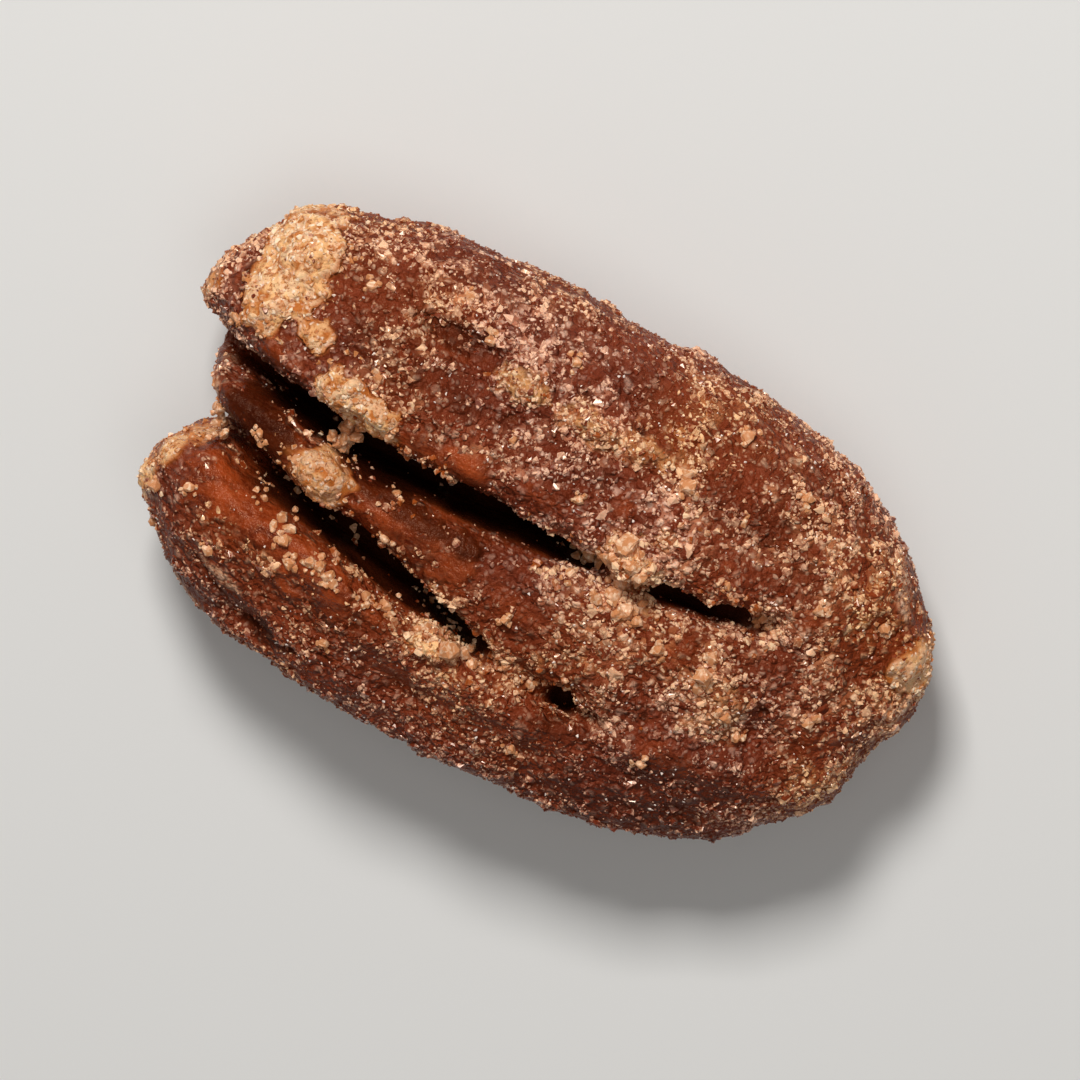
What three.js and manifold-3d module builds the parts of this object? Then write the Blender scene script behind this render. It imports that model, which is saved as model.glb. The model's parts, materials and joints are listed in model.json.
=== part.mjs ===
// A single maple glazed pecan half, coated in crystallised sugar, lying on its flat side.
//
// Units are millimetres and +Z is up. The long axis runs along X: the cleft base of the kernel, where its two
// lobes end separately, points to -X and the nose of the fused tip points to +X. The fuller lobe is on +Y.
// The origin is the centre of the bounding box's bottom, on the plane that the kernel rests on.
//
// The kernel is an implicit surface: a rounded body, cut by two grooves along its back, by a trough along
// its underside and by a notch at its base, then swelled by patches of caked sugar. A dual-grid mesher turns
// it into triangles and planes the underside flat where it rests. Loose sugar lumps are then fused on.

import * as THREE from 'three';
import { mergeVertices } from 'three/addons/utils/BufferGeometryUtils.js';
import Module from 'manifold-3d';

// Driving dimensions of the kernel
const RIM_HEIGHT = 4.1;        // height of the widest outline above the table
const CROWN = 5.0;             // from the rim up to the back
const BELLY = 4.65;            // from the rim down to the belly, before it is planed flat
const CROWN_POWER = 2.3;       // 2 is an ellipse, more is boxier
const BELLY_POWER = 2.1;
const WIDEST_X = -1.3;         // where along the length the outline is widest

// Each quadrant of the outline is a superellipse: its reach along X and its power
const OUTLINE = {
  base: { full: { reach: 14.0, power: 3.25 }, slim: { reach: 13.5, power: 2.75 } },
  tip: { full: { reach: 16.5, power: 2.65 }, slim: { reach: 16.55, power: 2.6 } },
};
const HALF_WIDTH = { full: 9.15, slim: 9.4 };

// The two grooves along the back: how round their lips and floors are, and how far their walls lean apart
const LIP_ROUNDING = 1.15;
const FLOOR_ROUNDING = 0.5;
const GROOVE_FLARE = 0.05;

// The middle ridge between them, which lies lower than the lobes and lowest at the base
const RIDGE = { roof: 8.5, drop: 1.1, halfWidth: 1.6, rounding: 1.5, lip: 1.2 };

// The trough along the underside, with a low seam on its roof
const TROUGH = { y: -0.3, halfWidth: 1.7, top: 2.3, rounding: 1.8, seam: 0.45, seamWidth: 0.6 };

// The notch between the lobes at the base, and the oval that the inner corner of the slimmer lobe's end follows
const NOTCH = { x: -16.1, y: -0.35, reach: 2.7, halfWidth: 1.9, rounding: 0.9 };
const LOBE_END = { x: -9.5, y: -5.2, length: 4.9, width: 4.6 };

// The nose at the tip
const NOSE = { x: 13.65, y: 1.5, z: 4.3, length: 2.2, width: 2.6, height: 1.9, rounding: 1.3 };

// Loose sugar: lumps on the cakes and in the grooves, and single ones all over
const LUMP_SEED = 20;
const LUMP_SIZE = { caked: [0.75, 1.15], loose: [0.65, 0.95] };
const LUMPS_PER_AREA = 2.3;    // on a cake, for each square millimetre of its box
const LOOSE_LUMPS = 44;
const LUMP_SUNK = 0.16;        // how far a lump's middle lies under the skin, as a share of its size
const EVEN_SPREAD = { x: 0.7548776662, y: 0.569840291 };   // steps of a sequence that fills a square evenly

// Mesh grid: cells are long along the grooves and fine across them
const CELL = { x: 1.14, y: 0.55, z: 0.55 };
const MARGIN = 1.5;
const SURFACE_STEPS = 3;
const PLANED_BELOW = 0.05;
const NUDGE = 1e-3;

// Where the finished part's box is centred in the coordinates used below
const CENTRE = { x: 0.39, y: -0.11 };

const clamp = (value, low, high) => Math.min(high, Math.max(low, value));

const mix = (a, b, t) => a + (b - a) * t;

// Rises from 0 at low to 1 at high, and falls where low is the larger
function smoothstep(low, high, value) {
  const t = clamp((value - low) / (high - low), 0, 1);
  return t * t * (3 - 2 * t);
}

// 1 at the centre, fading to 0 at the reach on both sides
const hump = (value, centre, reach) => smoothstep(reach, 0, Math.abs(value - centre));

// Union of two distances with a fillet of about the given radius
function smoothMin(a, b, radius) {
  const overlap = Math.max(radius - Math.abs(a - b), 0) / radius;
  return Math.min(a, b) - (overlap * overlap * radius) / 4;
}

const smoothMax = (a, b, radius) => -smoothMin(-a, -b, radius);

function ellipsoid(x, y, z, blob) {
  const u = (x - blob.x) / blob.length;
  const v = (y - blob.y) / blob.width;
  const w = (z - blob.z) / blob.height;
  const reach = Math.hypot(u, v, w);
  const slope = Math.hypot(u / blob.length, v / blob.width, w / blob.height);
  return slope > 1e-6 ? (reach * (reach - 1)) / slope : -Math.min(blob.length, blob.width, blob.height);
}

// The plump body, before anything is cut from it. The result is close to a distance near the surface.
function body(x, y, z) {
  const end = x < WIDEST_X ? OUTLINE.base : OUTLINE.tip;
  const side = y > 0 ? 'full' : 'slim';
  const { reach, power } = end[side];
  const crown = z > RIM_HEIGHT;
  const height = crown ? CROWN : BELLY;
  const profile = crown ? CROWN_POWER : BELLY_POWER;
  const u = Math.abs(x - WIDEST_X) / reach;
  const v = Math.abs(y) / HALF_WIDTH[side];
  const w = Math.abs(z - RIM_HEIGHT) / height;
  const plan = Math.max(Math.pow(Math.pow(u, power) + Math.pow(v, power), 1 / power), 0.05);
  const level = Math.pow(Math.pow(plan, profile) + Math.pow(w, profile), 1 / profile);
  const across = Math.pow(level, 1 - profile) * Math.pow(plan, profile - power);
  const gradient = Math.hypot(
    (across * Math.pow(u, power - 1)) / reach,
    (across * Math.pow(v, power - 1)) / HALF_WIDTH[side],
    (Math.pow(level, 1 - profile) * Math.pow(w, profile - 1)) / height,
  );
  return (level - 1) / gradient;
}

// Each groove of the back: its course in plan, the height of its floor with the sugar caked on it, and half
// its width
const upperGrooveBulge = (x) => 0.05 + 0.23 * hump(x, -6, 5.5);
const upperGroove = {
  course: (x) => 0.95 + 0.0062 * (x + 3) ** 2 - upperGrooveBulge(x),
  floor: (x) =>
    3.3 + 1.4 * smoothstep(-13, 1, x) + 2.2 * smoothstep(0, 10, x) + 2.4 * smoothstep(9.2, 11.6, x) +
    2.3 * hump(x, 3.4, 2.6),
  halfWidth: (x) =>
    0.36 + 0.2 * smoothstep(-9, -14, x) - 0.14 * smoothstep(4, 10, x) + upperGrooveBulge(x),
};
const lowerGroove = {
  course: (x) =>
    -4.55 + smoothMax(0, -0.285 * (x - 1.2), 1.2) - 0.42 * smoothstep(-3, -10.5, x) +
    0.15 * hump(x, -2.5, 2.5) + 0.1 * hump(x, 3.9, 0.9),
  floor: (x) =>
    3.3 + 1.3 * smoothstep(-13, -3, x) + 3.0 * smoothstep(-3, 7, x) + 1.9 * smoothstep(5, 8, x) +
    1.9 * hump(x, 1.2, 3.0) - hump(x, 3.9, 1.0),
  halfWidth: (x) =>
    0.34 + 0.21 * smoothstep(-12, -5, x) - 0.27 * smoothstep(-2, 6, x) + 0.1 * smoothstep(-8, -11, x) +
    0.2 * hump(x, 3.9, 0.9),
};

function groove(x, y, z, { course, floor, halfWidth }) {
  const flare = GROOVE_FLARE * Math.max(z - floor(x), 0);
  const wall = Math.abs(y - course(x)) - halfWidth(x) - flare;
  return smoothMax(wall, floor(x) - z, FLOOR_ROUNDING);
}

// What is taken off the top of the middle ridge
function ridgeDip(x, y, z) {
  const roof = RIDGE.roof - RIDGE.drop * smoothstep(-3, -13, x);
  const wall = Math.abs(y + 0.3 + 0.1 * (x + 12)) - RIDGE.halfWidth;
  return smoothMax(wall, roof - z, RIDGE.rounding);
}

function trough(x, y, z) {
  const seam = TROUGH.seam * Math.exp(-(((y - TROUGH.y) / TROUGH.seamWidth) ** 2));
  const roof = TROUGH.top - seam - 2.6 * smoothstep(3, 12, x);
  const wall = Math.abs(y - TROUGH.y) - TROUGH.halfWidth * (1 - 0.35 * smoothstep(2, 11, x));
  return smoothMax(wall, z - roof, TROUGH.rounding);
}

function notch(x, y) {
  const u = (x - NOTCH.x) / NOTCH.reach;
  const v = (y - NOTCH.y) / NOTCH.halfWidth;
  return (Math.hypot(u, v) - 1) * NOTCH.halfWidth;
}

// What is rounded off the inner corner of the slimmer lobe's end, where the groove beside it opens
function lobeCorner(x, y) {
  const u = Math.max(LOBE_END.x - x, 0) / LOBE_END.length;
  const v = Math.max(y - LOBE_END.y, 0) / LOBE_END.width;
  const beyond = (Math.hypot(u, v) - 1) * LOBE_END.width;
  return Math.max(-beyond, y - lowerGroove.course(x));
}

// Long shallow wrinkles and gentle swellings of the skin
function wrinkles(x, y, z) {
  const drift = 0.9 * Math.sin(0.31 * x + 0.6) + 0.5 * Math.sin(0.73 * x + 0.4 * z);
  const long = Math.sin(1.55 * y + drift + 0.35 * z);
  const cross = Math.sin(0.62 * x + 0.8 * y + 1.1) * Math.sin(0.47 * x - 0.9 * z + 0.5);
  const fine = Math.sin(3.1 * y + 1.3 * Math.sin(0.8 * x) + 1.2 * z) * Math.sin(0.9 * x + 0.7 * y);
  return 0.09 * long + 0.13 * cross + 0.05 * fine;
}

// Dents of the back and flanks: where they are, how long, wide and deep, and their turn in plan
const DENTS = [
  { x: -5.6, y: 6.4, length: 2.4, width: 0.75, depth: 0.6, turn: 0 },
  { x: 1.8, y: 7.3, length: 2.2, width: 1.0, depth: 0.3, turn: -0.1 },
  { x: 8.9, y: 4.4, length: 3.2, width: 1.1, depth: 0.35, turn: -0.25 },
  { x: -8.2, y: -7.4, length: 2.0, width: 0.8, depth: 0.5, turn: -0.2 },
  { x: 6.5, y: -5.8, length: 3.4, width: 1.1, depth: 0.35, turn: 0.15 },
  { x: 10.9, y: -2.4, length: 2.4, width: 1.2, depth: 0.45, turn: 0.1 },
  { x: -1.6, y: -6.8, length: 2.1, width: 0.9, depth: 0.35, turn: 0 },
];

// Cakes of sugar on the back: where they are, how long, wide and thick, and their turn in plan
const CAKES = [
  { x: -12.3, y: 6.6, length: 1.5, width: 1.3, depth: 0.4, turn: 0.1 },
  { x: -12.5, y: 5.2, length: 1.2, width: 1.4, depth: 0.35, turn: 0.2 },
  { x: -12.7, y: 3.9, length: 0.8, width: 0.8, depth: 0.25, turn: 0 },
  { x: -10.6, y: 4.1, length: 0.7, width: 0.6, depth: 0.3, turn: 0 },
  { x: -8.5, y: 2.8, length: 1.3, width: 0.9, depth: 0.5, turn: -0.1 },
  { x: -7.1, y: 2.6, length: 1.1, width: 0.75, depth: 0.4, turn: -0.2 },
  { x: -8.0, y: -0.7, length: 1.3, width: 0.95, depth: 0.45, turn: -0.1 },
  { x: -2.7, y: 6.2, length: 1.2, width: 0.8, depth: 0.4, turn: -0.3 },
  { x: 0.3, y: 6.0, length: 1.5, width: 0.7, depth: 0.35, turn: 0 },
  { x: 2.6, y: 6.1, length: 1.3, width: 0.6, depth: 0.3, turn: 0.2 },
  { x: 4.1, y: 1.8, length: 1.2, width: 1.5, depth: 0.45, turn: 0.2 },
  { x: -1.1, y: -4.3, length: 1.3, width: 0.9, depth: 0.35, turn: -0.2 },
  { x: 9.4, y: -1.9, length: 1.4, width: 1.2, depth: 0.25, turn: 0.2 },
  { x: 14.9, y: 2.5, length: 1.0, width: 1.0, depth: 0.25, turn: 0 },
];

// A round-topped bump, or the hollow of a dent, that fades below the rim
function swelling(x, y, z, { x: cx, y: cy, length, width, depth, turn }) {
  const dx = x - cx;
  const dy = y - cy;
  const u = (dx * Math.cos(turn) + dy * Math.sin(turn)) / length;
  const v = (dy * Math.cos(turn) - dx * Math.sin(turn)) / width;
  return depth * smoothstep(1.1, 0.1, Math.hypot(u, v)) * smoothstep(2.2, 3.8, z);
}

// Negative inside the kernel, about a distance in millimetres near its surface
function kernel(x, y, z) {
  let d = body(x, y, z);
  d = smoothMax(d, -ridgeDip(x, y, z), RIDGE.lip);
  d = smoothMax(d, -groove(x, y, z, upperGroove), LIP_ROUNDING);
  d = smoothMax(d, -groove(x, y, z, lowerGroove), LIP_ROUNDING);
  d = smoothMax(d, -trough(x, y, z), TROUGH.rounding);
  d = smoothMax(d, -notch(x, y), NOTCH.rounding);
  d = smoothMax(d, -lobeCorner(x, y), NOTCH.rounding);
  d = smoothMin(d, ellipsoid(x, y, z, NOSE), NOSE.rounding);
  d -= wrinkles(x, y, z);
  for (const dent of DENTS) d += swelling(x, y, z, dent);
  for (const cake of CAKES) d -= swelling(x, y, z, cake);
  return d;
}

function gradient(x, y, z) {
  const h = 0.05;
  return [
    (kernel(x + h, y, z) - kernel(x - h, y, z)) / (2 * h),
    (kernel(x, y + h, z) - kernel(x, y - h, z)) / (2 * h),
    (kernel(x, y, z + h) - kernel(x, y, z - h)) / (2 * h),
  ];
}

// Moves a point onto the surface, by a few steps along the slope that never leave its own cell by much,
// and planes what would reach the table flat
function settle(point) {
  const start = [...point];
  const room = [CELL.x, CELL.y, CELL.z];
  for (let step = 0; step < SURFACE_STEPS; step++) {
    const value = kernel(...point);
    const slope = gradient(...point);
    const steep = slope[0] ** 2 + slope[1] ** 2 + slope[2] ** 2;
    for (let axis = 0; axis < 3; axis++) {
      const moved = point[axis] - (value * slope[axis]) / Math.max(steep, 0.2);
      point[axis] = clamp(moved, start[axis] - room[axis] / 2, start[axis] + room[axis] / 2);
    }
  }
  if (point[2] < PLANED_BELOW) point[2] = 0;
  return point;
}

// Where the four corners of a grid face alternate between inside and outside, the surface would pinch to
// an edge. The corner nearest the surface changes side instead.
function untangle(values, count, at) {
  const across = [[0, 1], [1, 2], [2, 0]];
  let changed = true;
  while (changed) {
    changed = false;
    for (let k = 0; k < count[2] - 1; k++)
      for (let j = 0; j < count[1] - 1; j++)
        for (let i = 0; i < count[0] - 1; i++)
          for (const [u, v] of across) {
            const face = [[0, 0], [1, 0], [1, 1], [0, 1]].map(([a, b]) => {
              const corner = [i, j, k];
              corner[u] += a;
              corner[v] += b;
              return at(...corner);
            });
            const inside = face.map((index) => values[index] < 0);
            if (inside[0] !== inside[2] || inside[1] !== inside[3] || inside[0] === inside[1]) continue;
            const nearest = face.reduce((a, b) => (Math.abs(values[a]) < Math.abs(values[b]) ? a : b));
            values[nearest] = values[nearest] < 0 ? NUDGE : -NUDGE;
            changed = true;
          }
  }
}

// Meshes the surface on a grid: one vertex in each cell that it crosses, one quad for each grid edge
function meshKernel() {
  const low = [WIDEST_X - OUTLINE.base.full.reach - MARGIN, -HALF_WIDTH.slim - MARGIN, -MARGIN];
  const high = [NOSE.x + NOSE.length + MARGIN, HALF_WIDTH.full + MARGIN, RIM_HEIGHT + CROWN + MARGIN];
  const cell = [CELL.x, CELL.y, CELL.z];
  const count = low.map((from, axis) => Math.ceil((high[axis] - from) / cell[axis]) + 1);
  const at = (i, j, k) => (k * count[1] + j) * count[0] + i;
  const place = (i, j, k) => [low[0] + i * cell[0], low[1] + j * cell[1], low[2] + k * cell[2]];

  const values = new Float64Array(count[0] * count[1] * count[2]);
  for (let k = 0; k < count[2]; k++)
    for (let j = 0; j < count[1]; j++)
      for (let i = 0; i < count[0]; i++) values[at(i, j, k)] = kernel(...place(i, j, k));
  untangle(values, count, at);

  const corners = [0, 1, 2, 3, 4, 5, 6, 7].map((n) => [n & 1, (n >> 1) & 1, n >> 2]);
  const edges = [];
  for (let a = 0; a < 8; a++)
    for (let axis = 0; axis < 3; axis++) if (!(a & (1 << axis))) edges.push([a, a | (1 << axis)]);

  const vertexOf = new Map();
  const positions = [];
  for (let k = 0; k < count[2] - 1; k++)
    for (let j = 0; j < count[1] - 1; j++)
      for (let i = 0; i < count[0] - 1; i++) {
        const levels = corners.map(([a, b, c]) => values[at(i + a, j + b, k + c)]);
        const sum = [0, 0, 0];
        let crossings = 0;
        for (const [a, b] of edges) {
          if (levels[a] < 0 === levels[b] < 0) continue;
          const t = levels[a] / (levels[a] - levels[b]);
          for (let axis = 0; axis < 3; axis++) sum[axis] += mix(corners[a][axis], corners[b][axis], t);
          crossings += 1;
        }
        if (!crossings) continue;
        const origin = place(i, j, k);
        const point = sum.map((total, axis) => origin[axis] + (total / crossings) * cell[axis]);
        vertexOf.set(at(i, j, k), positions.length / 3);
        positions.push(...settle(point));
      }

  const indices = [];
  const apart = (a, b) =>
    Math.hypot(...[0, 1, 2].map((axis) => positions[3 * a + axis] - positions[3 * b + axis]));
  const addQuad = (quad, flipped) => {
    const [a, b, c, d] = flipped ? quad.slice().reverse() : quad;
    if (apart(a, c) < apart(b, d)) indices.push(a, b, c, a, c, d);
    else indices.push(a, b, d, b, c, d);
  };
  for (let k = 1; k < count[2] - 1; k++)
    for (let j = 1; j < count[1] - 1; j++)
      for (let i = 1; i < count[0] - 1; i++)
        for (let axis = 0; axis < 3; axis++) {
          const step = [0, 0, 0];
          step[axis] = 1;
          const here = values[at(i, j, k)] < 0;
          const next = values[at(i + step[0], j + step[1], k + step[2])] < 0;
          if (here === next) continue;
          const [u, v] = [(axis + 1) % 3, (axis + 2) % 3];
          const around = [[0, 0], [1, 0], [1, 1], [0, 1]].map(([a, b]) => {
            const cellAt = [i, j, k];
            cellAt[u] -= a;
            cellAt[v] -= b;
            return vertexOf.get(at(...cellAt));
          });
          addQuad(around, !here);
        }

  const geometry = new THREE.BufferGeometry();
  geometry.setAttribute('position', new THREE.Float32BufferAttribute(positions, 3));
  geometry.setIndex(indices);
  return geometry;
}

// The same numbers between 0 and 1 on every run
function seededRandom(seed) {
  let state = seed;
  return () => {
    state = (state + 0x6d2b79f5) | 0;
    let t = Math.imul(state ^ (state >>> 15), 1 | state);
    t = (t + Math.imul(t ^ (t >>> 7), 61 | t)) ^ t;
    return ((t ^ (t >>> 14)) >>> 0) / 4294967296;
  };
}

// Where a lump dropped from above lands on the kernel, or null beside it
function landing(x, y) {
  for (let z = RIM_HEIGHT + CROWN + MARGIN; z > RIM_HEIGHT - 1; z -= 0.05) {
    if (kernel(x, y, z) < 0) return [x, y, z];
  }
  return null;
}

// A lump of sugar: a rough crystal of twenty faces, partly sunk into the skin at its foot
function sugarLump(foot, size, random) {
  const shape = new THREE.IcosahedronGeometry(size / 2, 0);
  shape.deleteAttribute('normal');
  shape.deleteAttribute('uv');
  const rough = mergeVertices(shape);
  const { position } = rough.attributes;
  for (let i = 0; i < position.count; i++) {
    const stretch = mix(0.8, 1.2, random());
    position.setXYZ(i, position.getX(i) * stretch, position.getY(i) * stretch, position.getZ(i) * stretch);
  }
  rough.rotateX(random() * Math.PI);
  rough.rotateY(random() * Math.PI);
  const slope = new THREE.Vector3(...gradient(...foot)).normalize();
  const middle = new THREE.Vector3(...foot).addScaledVector(slope, -LUMP_SUNK * size);
  rough.translate(middle.x, middle.y, middle.z);
  return rough;
}

// Lumps crowd on the cakes and lie singly elsewhere, spread evenly by a golden-ratio sequence
function sugarLumps() {
  const random = seededRandom(LUMP_SEED);
  const lumps = [];
  const drop = (x, y, [small, large]) => {
    const foot = landing(x, y);
    if (foot) lumps.push(sugarLump(foot, mix(small, large, random()), random));
  };
  for (const { x, y, length, width, turn } of CAKES) {
    const number = Math.round(length * width * LUMPS_PER_AREA);
    for (let i = 0; i < number; i++) {
      const angle = i * Math.PI * (3 - Math.sqrt(5)) + random();
      const reach = Math.sqrt((i + 0.5) / number) * 0.85;
      const u = length * reach * Math.cos(angle);
      const v = width * reach * Math.sin(angle);
      drop(
        x + u * Math.cos(turn) - v * Math.sin(turn),
        y + u * Math.sin(turn) + v * Math.cos(turn),
        LUMP_SIZE.caked,
      );
    }
  }
  const base = WIDEST_X - OUTLINE.base.full.reach;
  const tip = NOSE.x + NOSE.length;
  for (let i = 0; i < LOOSE_LUMPS; i++) {
    const along = mix(0.03, 0.97, (i * EVEN_SPREAD.x) % 1);
    const across = mix(0.04, 0.96, (i * EVEN_SPREAD.y) % 1);
    drop(mix(base, tip, along), mix(-HALF_WIDTH.slim, HALF_WIDTH.full, across), LUMP_SIZE.loose);
  }
  return lumps;
}

const wasm = await Module();
wasm.setup();

function toSolid(geometry) {
  return new wasm.Manifold(
    new wasm.Mesh({
      numProp: 3,
      vertProperties: geometry.attributes.position.array,
      triVerts: new Uint32Array(geometry.index.array),
    }),
  );
}

function toGeometry(solid) {
  const { vertProperties, triVerts } = solid.getMesh();
  const geometry = new THREE.BufferGeometry();
  geometry.setAttribute('position', new THREE.BufferAttribute(vertProperties, 3));
  geometry.setIndex(new THREE.BufferAttribute(triVerts, 1));
  return geometry;
}

const solid = sugarLumps().reduce((whole, lump) => whole.add(toSolid(lump)), toSolid(meshKernel()));
const geometry = toGeometry(solid);
geometry.translate(-CENTRE.x, -CENTRE.y, 0);
geometry.computeVertexNormals();

const glaze = new THREE.MeshStandardMaterial({ color: 0x8a4f35, roughness: 0.55, metalness: 0 });
const pecan = new THREE.Mesh(geometry, glaze);
pecan.name = 'glazed_pecan';

const part = new THREE.Group();
part.add(pecan);

export default part;
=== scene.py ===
"""A maple glazed pecan half: the nut's skin under its cooked glaze, and the sugar crystals that crust it.

The skin is the same implicit surface as the solid that it stands for, meshed finely. The sugar is scattered
over it by Geometry Nodes, one piece for each kind of grain, by masks that the skin carries as attributes.
The shape functions below work in millimetres, in the kernel's own coordinates.
"""

import itertools
import json
import math

import bmesh
import bpy
import numpy as np
from mathutils import Euler, Matrix, Vector

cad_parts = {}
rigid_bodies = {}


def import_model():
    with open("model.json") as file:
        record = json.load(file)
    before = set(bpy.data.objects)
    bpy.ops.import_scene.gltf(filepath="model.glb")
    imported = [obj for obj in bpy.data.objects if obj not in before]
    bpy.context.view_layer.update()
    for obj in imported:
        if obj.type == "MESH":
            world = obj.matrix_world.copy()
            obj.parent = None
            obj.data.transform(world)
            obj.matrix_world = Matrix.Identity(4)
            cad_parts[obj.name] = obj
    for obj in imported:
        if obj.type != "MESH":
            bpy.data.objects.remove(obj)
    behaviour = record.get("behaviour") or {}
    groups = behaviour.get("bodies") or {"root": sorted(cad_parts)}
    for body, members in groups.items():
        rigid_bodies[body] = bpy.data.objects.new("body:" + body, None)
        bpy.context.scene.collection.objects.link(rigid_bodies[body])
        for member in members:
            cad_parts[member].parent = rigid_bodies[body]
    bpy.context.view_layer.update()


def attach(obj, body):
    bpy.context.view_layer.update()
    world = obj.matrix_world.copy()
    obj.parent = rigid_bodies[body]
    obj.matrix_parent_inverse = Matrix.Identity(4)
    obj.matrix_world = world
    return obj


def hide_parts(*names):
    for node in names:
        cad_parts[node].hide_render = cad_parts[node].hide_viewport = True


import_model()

MM = 0.001
NODE = "glazed_pecan"

# Driving sizes of the kernel, in millimetres
RIM_HEIGHT = 4.1
CROWN = 5.0
BELLY = 4.65
CROWN_POWER = 2.3
BELLY_POWER = 2.1
WIDEST_X = -1.3
REACH = {"base full": 14.0, "base slim": 13.5, "tip full": 16.5, "tip slim": 16.55}
POWER = {"base full": 3.25, "base slim": 2.75, "tip full": 2.65, "tip slim": 2.6}
HALF_WIDTH_FULL = 9.15
HALF_WIDTH_SLIM = 9.4
LIP_ROUNDING = 1.15
FLOOR_ROUNDING = 0.5
GROOVE_FLARE = 0.05
RIDGE = {"roof": 8.5, "drop": 1.1, "half_width": 1.6, "rounding": 1.5, "lip": 1.2}
TROUGH = {"y": -0.3, "half_width": 1.7, "top": 2.3, "rounding": 1.8, "seam": 0.45, "seam_width": 0.6}
NOTCH = {"x": -16.1, "y": -0.35, "reach": 2.7, "half_width": 1.9, "rounding": 0.9}
LOBE_END = {"x": -9.5, "y": -5.2, "length": 4.9, "width": 4.6}
NOSE = {"x": 13.65, "y": 1.5, "z": 4.3, "length": 2.2, "width": 2.6, "height": 1.9, "rounding": 1.3}
PLANED_BELOW = 0.05
CENTRE = np.array([0.39, -0.11, 0.0])      # where the part's box is centred in these coordinates

# The mesh grid of the skin, and the points on a side of the block that its noise repeats in
CELL = 0.158
MARGIN = 1.0
LATTICE = 32

# The crystals: the least width to length, how many small ones lie beside each coarse one and in each
# place of a clot, how far they stray there, how far coarse ones stand out, as a share of their size,
# and how much the small grains outnumber the large ones: 1 is equally many
SLIMMEST = 0.7
CRYSTALS_BESIDE = 4
CLOT_SPREAD = 0.3
CRYSTAL_LIFT = 0.08
SMALL_MOSTLY = 1.8

# Dents: x, y, length, width, depth, turn
DENTS = [
    (-5.6, 6.4, 2.4, 0.75, 0.6, 0.0),
    (1.8, 7.3, 2.2, 1.0, 0.3, -0.1),
    (8.9, 4.4, 3.2, 1.1, 0.35, -0.25),
    (-8.2, -7.4, 2.0, 0.8, 0.5, -0.2),
    (6.5, -5.8, 3.4, 1.1, 0.35, 0.15),
    (10.9, -2.4, 2.4, 1.2, 0.45, 0.1),
    (-1.6, -6.8, 2.1, 0.9, 0.35, 0.0),
]

# Smooth cakes of sugar: x, y, length, width, thickness, turn, and how pale they are from 0 to 1
CAKES = [
    (-12.3, 6.6, 1.5, 1.3, 0.4, 0.1, 1.0),
    (-12.5, 5.2, 1.2, 1.4, 0.35, 0.2, 0.95),
    (-12.7, 3.9, 0.8, 0.8, 0.25, 0.0, 0.85),
    (-10.6, 4.1, 0.7, 0.6, 0.3, 0.0, 0.75),
    (-8.5, 2.8, 1.3, 0.9, 0.5, -0.1, 1.0),
    (-7.1, 2.6, 1.1, 0.75, 0.4, -0.2, 0.95),
    (-8.0, -0.7, 1.3, 0.95, 0.45, -0.1, 0.7),
    (14.9, 2.5, 1.0, 1.0, 0.25, 0.0, 0.75),
]

# Crumbly cakes, which are crowded with grains
CRUMBLY_CAKES = [
    (-2.7, 6.2, 1.2, 0.8, 0.4, -0.3),
    (0.3, 6.0, 1.5, 0.7, 0.35, 0.0),
    (2.6, 6.1, 1.3, 0.6, 0.3, 0.2),
    (4.1, 1.8, 1.2, 1.5, 0.45, 0.2),
    (-1.1, -4.3, 1.3, 0.9, 0.35, -0.2),
    (9.4, -1.9, 1.4, 1.2, 0.25, 0.2),
]

# Places where the glaze lies bare and glossy: x, y, length, width, strength, turn
BARE_GLAZE = [
    (-11.0, -0.1, 3.4, 1.3, 1.0, -0.12),
    (-4.4, -1.0, 4.4, 1.4, 0.9, -0.15),
    (0.4, -1.5, 3.2, 0.9, 0.45, -0.2),
    (-11.0, -3.0, 3.4, 1.5, 0.95, -0.2),
    (-7.4, -3.9, 3.4, 1.1, 0.9, -0.25),
    (-5.4, 2.3, 4.2, 0.8, 0.9, 0.05),
    (-11.6, 2.9, 1.8, 0.9, 0.7, -0.2),
    (-14.0, 4.6, 0.7, 1.1, 0.5, 0.3),
    (-6.0, 6.3, 1.8, 0.5, 0.4, 0.0),
    (6.6, 4.3, 2.6, 1.1, 0.4, -0.2),
    (11.6, 2.8, 1.8, 1.0, 0.4, -0.3),
    (12.2, -1.6, 1.8, 1.3, 0.45, 0.2),
    (6.6, -0.4, 1.6, 0.7, 0.6, 0.1),
    (3.4, -1.6, 3.4, 1.0, 0.5, -0.1),
    (-0.6, 3.0, 1.6, 0.7, 0.4, 0.0),
    (3.2, 3.9, 1.4, 0.6, 0.4, 0.1),
    (8.2, -4.4, 2.4, 0.7, 0.4, 0.15),
    (-2.4, -6.6, 2.6, 0.6, 0.4, 0.0),
]

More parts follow.
